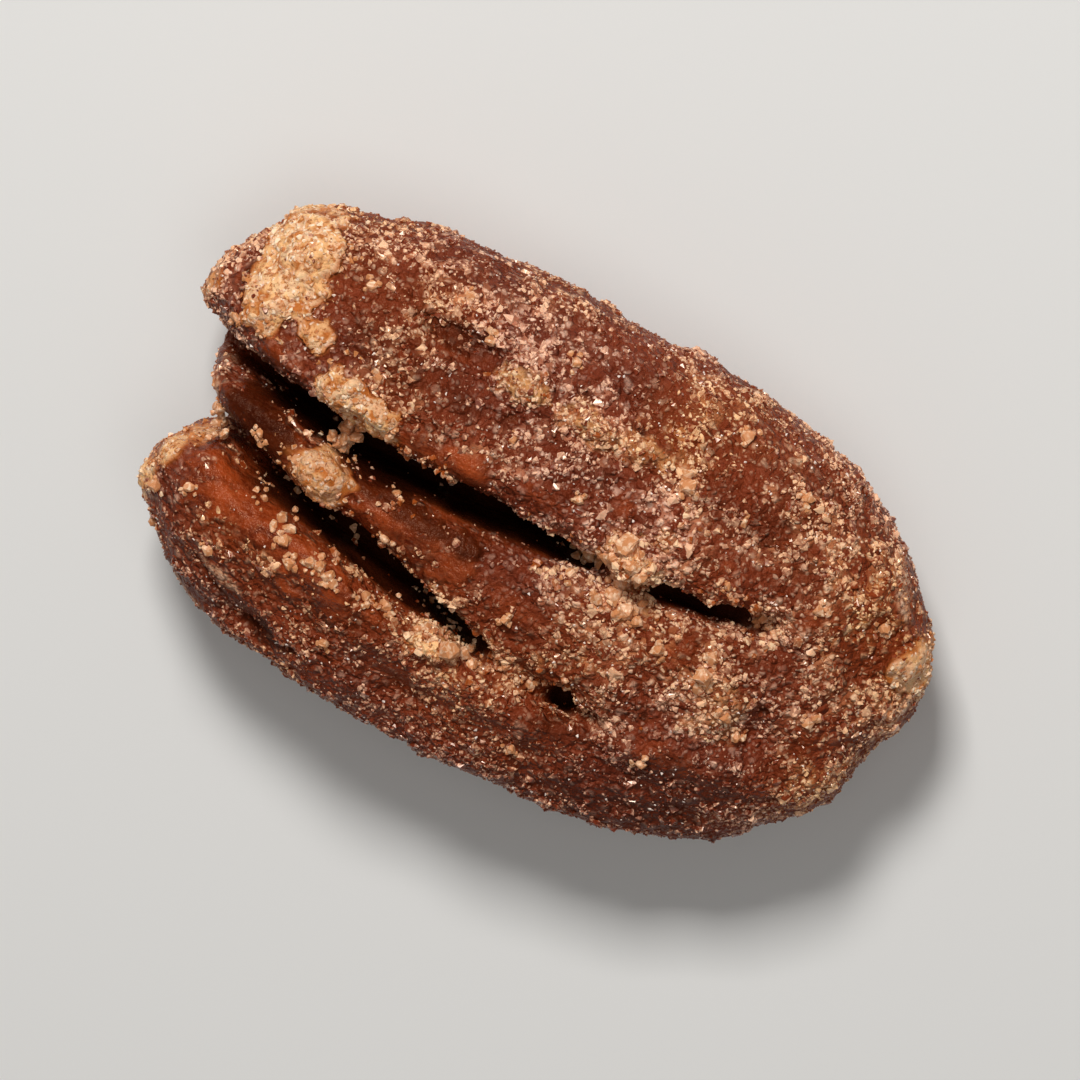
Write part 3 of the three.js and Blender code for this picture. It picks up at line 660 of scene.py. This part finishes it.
def scatter_tree():
    """Grains scattered over a surface where a mask allows them, each turned and sized at random."""
    tree = bpy.data.node_groups.new("sugar_scatter", "GeometryNodeTree")
    tree.is_modifier = True
    face = tree.interface
    face.new_socket("Skin", in_out="INPUT", socket_type="NodeSocketGeometry")
    for label, kind in (
        ("Shapes", "NodeSocketCollection"),
        ("Finish", "NodeSocketMaterial"),
        ("Mask", "NodeSocketString"),
        ("Grains per square metre", "NodeSocketFloat"),
        ("Smallest", "NodeSocketFloat"),
        ("Largest", "NodeSocketFloat"),
        ("Lift", "NodeSocketFloat"),
        ("Seed", "NodeSocketInt"),
    ):
        face.new_socket(label, in_out="INPUT", socket_type=kind)
    face.new_socket("Sugar", in_out="OUTPUT", socket_type="NodeSocketGeometry")
    nodes, links = tree.nodes, tree.links
    given = nodes.new("NodeGroupInput")
    result = nodes.new("NodeGroupOutput")

    def socket(sockets, name):
        return next(s for s in sockets if s.name == name and s.enabled)

    def join(source, out_name, target, in_name):
        links.new(socket(source.outputs, out_name), socket(target.inputs, in_name))

    mask = nodes.new("GeometryNodeInputNamedAttribute")
    mask.data_type = "FLOAT"
    join(given, "Mask", mask, "Name")
    density = nodes.new("ShaderNodeMath")
    density.operation = "MULTIPLY"
    links.new(mask.outputs["Attribute"], density.inputs[0])
    links.new(given.outputs["Grains per square metre"], density.inputs[1])
    spread = nodes.new("GeometryNodeDistributePointsOnFaces")
    spread.distribute_method = "RANDOM"
    join(given, "Skin", spread, "Mesh")
    links.new(density.outputs[0], socket(spread.inputs, "Density"))
    join(given, "Seed", spread, "Seed")

    def random_value(kind, offset):
        node = nodes.new("FunctionNodeRandomValue")
        node.data_type = kind
        add = nodes.new("ShaderNodeMath")
        links.new(given.outputs["Seed"], add.inputs[0])
        add.inputs[1].default_value = offset
        links.new(add.outputs[0], socket(node.inputs, "Seed"))
        return node

    chance = random_value("FLOAT", 1)
    small_mostly = nodes.new("ShaderNodeMath")
    small_mostly.operation = "POWER"
    links.new(socket(chance.outputs, "Value"), small_mostly.inputs[0])
    small_mostly.inputs[1].default_value = SMALL_MOSTLY
    size = nodes.new("ShaderNodeMapRange")
    links.new(small_mostly.outputs[0], size.inputs["Value"])
    links.new(given.outputs["Smallest"], size.inputs["To Min"])
    links.new(given.outputs["Largest"], size.inputs["To Max"])

    reach = nodes.new("ShaderNodeMath")
    reach.operation = "MULTIPLY"
    links.new(size.outputs["Result"], reach.inputs[0])
    links.new(given.outputs["Lift"], reach.inputs[1])
    along = nodes.new("ShaderNodeVectorMath")
    along.operation = "SCALE"
    links.new(spread.outputs["Normal"], along.inputs[0])
    links.new(reach.outputs[0], along.inputs["Scale"])
    lifted = nodes.new("GeometryNodeSetPosition")
    join(spread, "Points", lifted, "Geometry")
    links.new(along.outputs[0], lifted.inputs["Offset"])

    shapes = nodes.new("GeometryNodeCollectionInfo")
    join(given, "Shapes", shapes, "Collection")
    shapes.inputs["Separate Children"].default_value = True
    shapes.inputs["Reset Children"].default_value = True
    turn = random_value("FLOAT_VECTOR", 2)
    socket(turn.inputs, "Max").default_value = (math.tau, math.tau, math.tau)
    grains = nodes.new("GeometryNodeInstanceOnPoints")
    join(lifted, "Geometry", grains, "Points")
    links.new(shapes.outputs[0], grains.inputs["Instance"])
    grains.inputs["Pick Instance"].default_value = True
    links.new(socket(turn.outputs, "Value"), grains.inputs["Rotation"])
    links.new(size.outputs["Result"], grains.inputs["Scale"])

    tint = nodes.new("GeometryNodeStoreNamedAttribute")
    tint.data_type = "FLOAT"
    tint.domain = "INSTANCE"
    tint.inputs["Name"].default_value = "tint"
    links.new(grains.outputs[0], tint.inputs["Geometry"])
    hue = random_value("FLOAT", 3)
    links.new(socket(hue.outputs, "Value"), socket(tint.inputs, "Value"))
    real = nodes.new("GeometryNodeRealizeInstances")
    links.new(tint.outputs[0], real.inputs[0])
    finish = nodes.new("GeometryNodeSetMaterial")
    links.new(real.outputs[0], finish.inputs["Geometry"])
    join(given, "Finish", finish, "Material")
    links.new(finish.outputs[0], result.inputs[0])
    return tree


def scatter(name, skin, tree, **values):
    """Runs the scatter tree over the skin and keeps the result as a plain mesh of its own."""
    base = make_object(f"{name}_base", skin.data.copy())
    modifier = base.modifiers.new("scatter", "NODES")
    modifier.node_group = tree
    for item in tree.interface.items_tree:
        if item.in_out == "INPUT" and item.name in values:
            modifier[item.identifier] = values[item.name]
    base.update_tag()
    made = base.evaluated_get(bpy.context.evaluated_depsgraph_get())
    mesh = bpy.data.meshes.new_from_object(made)
    mesh.name = name
    place = np.empty(3 * len(mesh.vertices))
    mesh.vertices.foreach_get("co", place)
    place[2::3] = np.maximum(place[2::3], 0.0)
    mesh.vertices.foreach_set("co", place)
    mesh.update()
    bpy.data.objects.remove(base)
    return make_object(name, mesh)


def landing(x, y):
    """The point of the skin that lies highest above a point in plan, or None beside the kernel."""
    z = np.arange(RIM_HEIGHT + CROWN + MARGIN, RIM_HEIGHT, -0.02)
    inside = np.flatnonzero(kernel(np.full_like(z, x), np.full_like(z, y), z) < 0)
    return np.array([x, y, z[inside[0]]]) if len(inside) else None


def coarse_crystals(name, shapes, finish, seed):
    """The coarse crystals and the clots, with smaller crystals beside them, joined into one piece."""
    rng = np.random.default_rng(seed)
    middles = []
    for x, y, size in CRYSTALS:
        beside = [(x, y, size)]
        for _ in range(CRYSTALS_BESIDE):
            angle, reach = rng.uniform(0.0, math.tau), size * rng.uniform(0.5, 0.85)
            at = (x + reach * math.cos(angle), y + reach * math.sin(angle))
            beside.append((*at, size * rng.uniform(0.35, 0.7)))
        for at_x, at_y, across in beside:
            foot = landing(at_x, at_y)
            if foot is not None:
                outward = slope_of(foot[None])[0]
                lift = CRYSTAL_LIFT * across * outward / np.linalg.norm(outward)
                middles.append((foot + lift, across))
    for x, y, z, size in CLOT:
        for _ in range(CRYSTALS_BESIDE):
            middle = np.array([x, y, z]) + rng.uniform(-CLOT_SPREAD, CLOT_SPREAD, 3)
            middles.append((middle, size * rng.uniform(0.5, 1.0)))

    places, faces, tints, shades, count = [], [], [], [], 0
    for middle, across in middles:
        turn = np.array(Euler(rng.uniform(0.0, math.tau, 3)).to_matrix())
        shape = shapes[rng.integers(len(shapes))].data
        corners = np.array([corner.co for corner in shape.vertices])
        places.append((corners @ turn.T * across + middle - CENTRE) * MM)
        faces += [[count + v for v in face.vertices] for face in shape.polygons]
        tints += [rng.uniform(0.0, 1.0)] * len(corners)
        shades += [facet.value for facet in shape.attributes["facet"].data]
        count += len(corners)
    mesh = bpy.data.meshes.new(name)
    mesh.from_pydata(np.concatenate(places), [], faces)
    mesh.attributes.new("tint", "FLOAT", "POINT").data.foreach_set("value", tints)
    mesh.attributes.new("facet", "FLOAT", "FACE").data.foreach_set("value", shades)
    mesh.materials.append(finish)
    return make_object(name, mesh)


class Finish:
    """A material under construction: makes its nodes and wires them to the surface shader."""

    def __init__(self, name):
        self.material = bpy.data.materials.new(name)
        self.material.use_nodes = True
        self.tree = self.material.node_tree
        self.shader = self.tree.nodes["Principled BSDF"]

    def node(self, kind, **settings):
        made = self.tree.nodes.new(kind)
        for name, value in settings.items():
            setattr(made, name, value)
        return made

    def link(self, source, target):
        self.tree.links.new(source, target)

    def set(self, **sockets):
        for name, value in sockets.items():
            self.shader.inputs[name.replace("_", " ")].default_value = value

    def attribute(self, name):
        return self.node("ShaderNodeAttribute", attribute_name=name).outputs["Fac"]

    def noise(self, per_mm, detail=3.0, roughness=0.55, stretch=1.0):
        """Cloudy noise, drawn out along the nut's length where stretch is more than 1."""
        where = self.node("ShaderNodeTexCoord").outputs["Object"]
        if stretch != 1.0:
            drawn = self.node("ShaderNodeVectorMath", operation="MULTIPLY")
            drawn.inputs[1].default_value = (1.0 / stretch, 1.0, 1.0)
            self.link(where, drawn.inputs[0])
            where = drawn.outputs[0]
        made = self.node("ShaderNodeTexNoise")
        made.inputs["Scale"].default_value = per_mm / MM
        made.inputs["Detail"].default_value = detail
        made.inputs["Roughness"].default_value = roughness
        self.link(where, made.inputs["Vector"])
        return made.outputs["Fac"]

    def cells(self, per_mm):
        """Crooked cells: how far a point is from the middle of its cell, and a grey for each cell."""
        where = self.node("ShaderNodeTexCoord").outputs["Object"]
        bend = self.node("ShaderNodeTexNoise")
        bend.inputs["Scale"].default_value = 3.0 / MM
        bend.inputs["Detail"].default_value = 1.0
        self.link(where, bend.inputs["Vector"])
        shift = self.node("ShaderNodeVectorMath", operation="MULTIPLY_ADD")
        shift.inputs[1].default_value = (0.3 * MM,) * 3
        self.link(bend.outputs["Color"], shift.inputs[0])
        self.link(where, shift.inputs[2])
        made = self.node("ShaderNodeTexVoronoi")
        made.inputs["Scale"].default_value = per_mm / MM
        self.link(shift.outputs[0], made.inputs["Vector"])
        return made.outputs["Distance"], made.outputs["Color"]

    def ramp(self, source, low, high, to_low=0.0, to_high=1.0):
        made = self.node("ShaderNodeMapRange", interpolation_type="SMOOTHSTEP")
        for name, value in (("From Min", low), ("From Max", high), ("To Min", to_low), ("To Max", to_high)):
            made.inputs[name].default_value = value
        self.link(source, made.inputs["Value"])
        return made.outputs["Result"]

    def mix(self, share, first, second, blend="MIX"):
        made = self.node("ShaderNodeMix", data_type="RGBA", blend_type=blend)
        for socket, value in ((made.inputs[0], share), (made.inputs[6], first), (made.inputs[7], second)):
            if isinstance(value, bpy.types.NodeSocket):
                self.link(value, socket)
            elif isinstance(value, (int, float)):
                socket.default_value = value
            else:
                socket.default_value = (*value, 1.0)
        return made.outputs[2]

    def math(self, operation, first, second):
        made = self.node("ShaderNodeMath", operation=operation)
        for socket, value in zip(made.inputs, (first, second)):
            if isinstance(value, bpy.types.NodeSocket):
                self.link(value, socket)
            else:
                socket.default_value = value
        return made.outputs[0]

    def bump(self, height, depth_mm):
        made = self.node("ShaderNodeBump")
        made.inputs["Distance"].default_value = depth_mm * MM
        self.link(height, made.inputs["Height"])
        self.link(made.outputs["Normal"], self.shader.inputs["Normal"])


def srgb(red, green, blue):
    """A colour as seen on screen, from 0 to 255, made linear."""
    return tuple(((c / 255.0 + 0.055) / 1.055) ** 2.4 if c > 10 else c / 3294.6 for c in (red, green, blue))


def skin_finish():
    """Red-brown skin under glaze: bare and glossy, frosted with fine crystals, or caked with sugar."""
    f = Finish("glazed_nut_skin")
    broad, middle, fine = f.noise(0.5), f.noise(1.5, 4.0), f.noise(6.0, 3.0, 0.7)
    streaks = f.noise(1.3, 4.0, 0.55, 2.0)
    reach, own = f.cells(2.6)
    fine_reach, fine_own = f.cells(4.6)
    pale, warm, cake = f.attribute("pale"), f.attribute("warm"), f.attribute("cake")
    film, deep = f.attribute("film"), f.attribute("deep")
    frosting = f.ramp(f.attribute("dust"), 0.05, 0.7)
    crusted = f.math("MAXIMUM", f.math("MAXIMUM", frosting, cake), film)

    glossy = f.mix(f.ramp(streaks, 0.3, 0.7), srgb(88, 24, 5), srgb(156, 62, 22))
    glossy = f.mix(f.ramp(fine, 0.42, 0.68, 0.0, 0.35), glossy, srgb(178, 92, 52))
    frosted = f.mix(warm, srgb(102, 38, 20), srgb(120, 46, 14))
    frosted = f.mix(f.ramp(broad, 0.4, 0.65, 0.0, 0.5), frosted, srgb(134, 54, 28))
    clot = f.math("MULTIPLY", f.ramp(own, 0.3, 0.8), f.ramp(pale, 0.1, 1.0, 0.0, 0.75))
    frosted = f.mix(clot, frosted, f.mix(warm, srgb(204, 130, 98), srgb(218, 136, 72)))
    grains = f.math("MULTIPLY", f.ramp(reach, 0.5, 0.2), f.ramp(own, 0.5, 0.7))
    fine_grains = f.math("MULTIPLY", f.ramp(fine_reach, 0.5, 0.15), f.ramp(fine_own, 0.42, 0.62))
    grains = f.math("MAXIMUM", f.math("MULTIPLY", grains, 0.8), fine_grains)
    grains = f.math("MULTIPLY", grains, f.ramp(pale, 0.0, 0.8, 0.25, 1.0))
    frosted = f.mix(grains, frosted, f.mix(warm, srgb(252, 204, 176), srgb(255, 206, 154)))
    colour = f.mix(frosting, glossy, frosted)
    # Darker where the glaze is thick, and painted shade on the ridge's left end and sides, in a dent and in
    # the pits
    colour = f.mix(f.ramp(f.attribute("dark"), 0.0, 1.0, 0.0, 0.85), colour, srgb(46, 13, 4))
    golden = f.mix(f.ramp(middle, 0.4, 0.6), srgb(150, 72, 24), srgb(238, 172, 108))
    golden = f.mix(f.ramp(fine, 0.5, 0.68, 0.0, 0.6), golden, srgb(252, 214, 174))
    golden = f.mix(grains, golden, srgb(255, 216, 172))
    colour = f.mix(f.ramp(f.attribute("crumbly"), 0.05, 0.6, 0.0, 0.9), colour, golden)
    dried = f.mix(f.ramp(fine, 0.35, 0.6), srgb(120, 64, 40), srgb(206, 152, 116))
    dried = f.mix(grains, dried, srgb(250, 216, 188))
    colour = f.mix(f.ramp(film, 0.0, 0.6), colour, dried)

    cream = f.mix(f.ramp(middle, 0.38, 0.6), srgb(190, 108, 46), srgb(238, 182, 124))
    cream = f.mix(f.ramp(own, 0.4, 0.7, 0.0, 0.55), cream, srgb(250, 212, 170))
    tufts = f.math("MULTIPLY", f.ramp(fine_reach, 0.5, 0.15), f.ramp(fine_own, 0.4, 0.6))
    cream = f.mix(tufts, cream, srgb(255, 230, 202))
    cream = f.mix(f.ramp(fine, 0.46, 0.34, 0.0, 0.8), cream, srgb(160, 84, 32))
    cream = f.mix(f.ramp(cake, 0.3, 0.95), srgb(172, 92, 38), cream)
    colour = f.mix(f.ramp(cake, 0.04, 0.6), colour, cream)
    # Painted shade: the skin darkens to near black the deeper it lies below the uncut body, as in the grooves
    colour = f.mix(f.ramp(deep, 0.0, 1.0, 0.0, 0.93), colour, srgb(30, 9, 3))
    f.link(colour, f.shader.inputs["Base Color"])
    f.link(f.ramp(crusted, 0.0, 1.0, 0.27, 0.5), f.shader.inputs["Roughness"])
    shaded = f.math("MAXIMUM", f.math("MULTIPLY", f.attribute("dark"), 0.4), deep)
    f.link(f.ramp(shaded, 0.0, 0.6, 0.3, 0.03), f.shader.inputs["Specular IOR Level"])
    hollows = f.math("MULTIPLY", f.math("ADD", reach, f.math("MULTIPLY", fine_reach, 0.6)), crusted)
    grit = f.math("MULTIPLY", hollows, f.ramp(cake, 0.0, 1.0, -1.5, -0.8))
    lumpy = f.math("ADD", f.math("MULTIPLY", fine, 0.25), f.math("MULTIPLY", middle, 1.4))
    f.bump(f.math("ADD", lumpy, grit), 0.14)
    f.set(Roughness=0.4, Specular_IOR_Level=0.3, Specular_Tint=(1.0, 0.58, 0.38, 1.0))
    f.set(Subsurface_Weight=0.12, Subsurface_Scale=0.3 * MM, Subsurface_Radius=(1.0, 0.4, 0.2))
    return f.material


def sugar_finish(name, dark, light, roughness, gloss, evenness, glints, flecked, clearness, white=0.0):
    """Crystals: each takes its own shade between two pairs of colours, the pale pair where the sugar is pale.

    Each pair goes from where the sugar is cool to where it is warm. Evenness is 1 where the shades between
    the two pairs are equally common, and more where most crystals are dark. Glints is how much a crystal's
    facets differ in shade, which paints glints on some facets; flecked how pale the flecks on it are, which
    stand for fine sugar and for painted glints; clearness how far light passes inside it, and white the
    share of crystals painted nearly white as glints.
    """
    f = Finish(name)
    warm = f.attribute("warm")
    own = f.attribute("tint")
    paleness = f.ramp(f.attribute("pale"), 0.0, 1.0, 0.2, 1.5)
    share = f.math("MULTIPLY", f.math("POWER", own, evenness), paleness)
    # Painted glints: some facets of each crystal are painted paler
    facet = f.math("MULTIPLY", f.math("POWER", f.attribute("facet"), 3.0), glints)
    reach, patch = f.cells(6.0)
    # Flecks: fine sugar, and painted glints in the middle of the cells
    flecks = f.math("MULTIPLY", f.ramp(reach, 0.5, 0.2), f.ramp(patch, 0.4, 0.6, 0.0, flecked))
    clouds = f.ramp(patch, 0.3, 0.8, -0.3, 0.2)
    share = f.math("ADD", f.math("ADD", share, facet), f.math("ADD", flecks, clouds))
    shade = f.mix(share, f.mix(warm, *dark), f.mix(warm, *light))
    # Painted glints: a share of the crystals is painted nearly white
    shade = f.mix(f.ramp(own, 1.0 - white, 1.02 - white, 0.0, 0.8), shade, srgb(255, 236, 220))
    f.link(shade, f.shader.inputs["Base Color"])
    f.set(Roughness=roughness, Specular_IOR_Level=gloss, Specular_Tint=(1.0, 0.8, 0.66, 1.0))
    f.set(Subsurface_Weight=clearness, Subsurface_Scale=0.2 * MM, Subsurface_Radius=(1.0, 0.7, 0.5))
    return f.material


def make_sugar(skin):
    tree = scatter_tree()
    chips = crystal_shapes("chip_crystal", 6, 50, 6)
    blocks = crystal_shapes("block_crystal", 6, 100, 10)
    grains = crystal_shapes("grain_crystal", 6, 200, 12, knobs=0.07)
    lumps = crystal_shapes("lump_crystal", 6, 300, 24, 6.0, knobs=0.07)
    brown = (srgb(112, 42, 20), srgb(136, 54, 16))
    rosy = (srgb(250, 192, 158), srgb(255, 198, 142))
    gold = (srgb(158, 76, 28),) * 2
    orange = (srgb(196, 124, 72),) * 2
    amber = (srgb(204, 136, 88),) * 2
    pale = (srgb(255, 208, 164),) * 2
    cream = (srgb(255, 220, 184),) * 2
    dust = sugar_finish("sugar_dust", brown, rosy, 0.25, 0.4, 1.5, 0.6, 0.2, 0.15, 0.08)
    frosting = sugar_finish("sugar_frosting", brown, rosy, 0.22, 0.55, 1.9, 0.4, 0.8, 0.25)
    caking = sugar_finish("sugar_caking", orange, cream, 0.4, 0.3, 0.8, 0.3, 0.3, 0.3)
    loose = sugar_finish("sugar_loose", gold, pale, 0.3, 0.4, 0.9, 0.25, 0.6, 0.2)
    coarse = sugar_finish("sugar_coarse", amber, cream, 0.4, 0.35, 0.5, 0.25, 0.4, 0.2)
    kinds = [
        # name, mask, finish, shapes, grains per square millimetre, smallest, largest, lift, seed
        ("sugar_dust_rosy", "rosy_dust", dust, chips, 20.0, 0.1, 0.2, -0.1, 11),
        ("sugar_dust_brown", "brown_dust", dust, chips, 17.0, 0.1, 0.2, -0.1, 12),
        ("sugar_frost", "frost", frosting, blocks, 20.0, 0.17, 0.36, -0.2, 13),
        ("sugar_grains", "frost", frosting, grains, 4.0, 0.3, 0.62, -0.22, 15),
        ("sugar_crumbs", "crumbly", loose, grains, 20.0, 0.14, 0.34, -0.05, 16),
        ("sugar_cake_grains", "fringe", caking, blocks, 12.0, 0.14, 0.34, -0.12, 18),
        ("sugar_heap_grains", "heap", loose, grains, 12.0, 0.16, 0.42, 0.1, 19),
    ]
    pieces = [coarse_crystals("sugar_crystals", lumps.objects, coarse, 21)]
    for name, mask, finish, shapes, number, smallest, largest, lift, seed in kinds:
        pieces.append(scatter(
            name, skin, tree,
            **{
                "Shapes": shapes, "Finish": finish, "Mask": mask, "Grains per square metre": number / MM ** 2,
                "Smallest": smallest * MM, "Largest": largest * MM, "Lift": lift, "Seed": seed,
            },
        ))
    for piece in pieces:
        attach(piece, "root")


def make_stage():
    """A plain pale floor, soft studio lights and the camera, which looks down along the photograph's line."""
    form = bmesh.new()
    bmesh.ops.create_grid(form, x_segments=1, y_segments=1, size=1.2)
    mesh = bpy.data.meshes.new("floor")
    form.to_mesh(mesh)
    form.free()
    floor = make_object("floor", mesh)
    f = Finish("floor_paper")
    f.set(Base_Color=(*srgb(226, 224, 220), 1.0), Roughness=0.9)
    floor.data.materials.append(f.material)

    target = Vector((0.0, 0.0, 4.0 * MM))
    for name, place, size, power in (
        ("key_light", (-110, 200, 240), 80, 0.95),
        ("top_light", (60, 20, 320), 220, 0.16),
        ("front_light", (40, -260, 170), 200, 0.02),
    ):
        light = bpy.data.lights.new(name, "AREA")
        light.size = size * MM
        light.energy = power
        lamp = bpy.data.objects.new(name, light)
        lamp.location = Vector(place) * MM
        lamp.rotation_euler = (lamp.location - target).to_track_quat("Z", "Y").to_euler()
        bpy.context.scene.collection.objects.link(lamp)

    world = bpy.data.worlds.new("studio")
    world.use_nodes = True
    world.node_tree.nodes["Background"].inputs["Color"].default_value = (1.0, 1.0, 1.0, 1.0)
    world.node_tree.nodes["Background"].inputs["Strength"].default_value = 0.15
    bpy.context.scene.world = world
    bpy.context.scene.view_settings.view_transform = "Standard"

    lean = math.radians(16.0)        # the camera leans from straight above towards the fuller lobe
    turn = math.radians(27.0)        # and the nut's length runs down to the right by this
    across = Vector((0.0, math.cos(lean), -math.sin(lean)))
    right = math.cos(turn) * Vector((1.0, 0.0, 0.0)) + math.sin(turn) * across
    up = -math.sin(turn) * Vector((1.0, 0.0, 0.0)) + math.cos(turn) * across
    back = right.cross(up)
    distance, view_width, sensor = 0.32, 41.0 * MM, 36.0
    camera = bpy.data.objects.new("camera", bpy.data.cameras.new("camera"))
    camera.data.sensor_width = sensor
    camera.data.lens = sensor * distance / view_width
    camera.data.clip_start = 0.01
    turned = Matrix((right, up, back)).transposed().to_4x4()
    camera.matrix_world = Matrix.Translation(target + back * distance) @ turned
    bpy.context.scene.collection.objects.link(camera)
    bpy.context.scene.camera = camera


make_stage()
skin = make_skin()
skin.data.materials.append(skin_finish())
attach(skin, "root")
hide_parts(NODE)
make_sugar(skin)
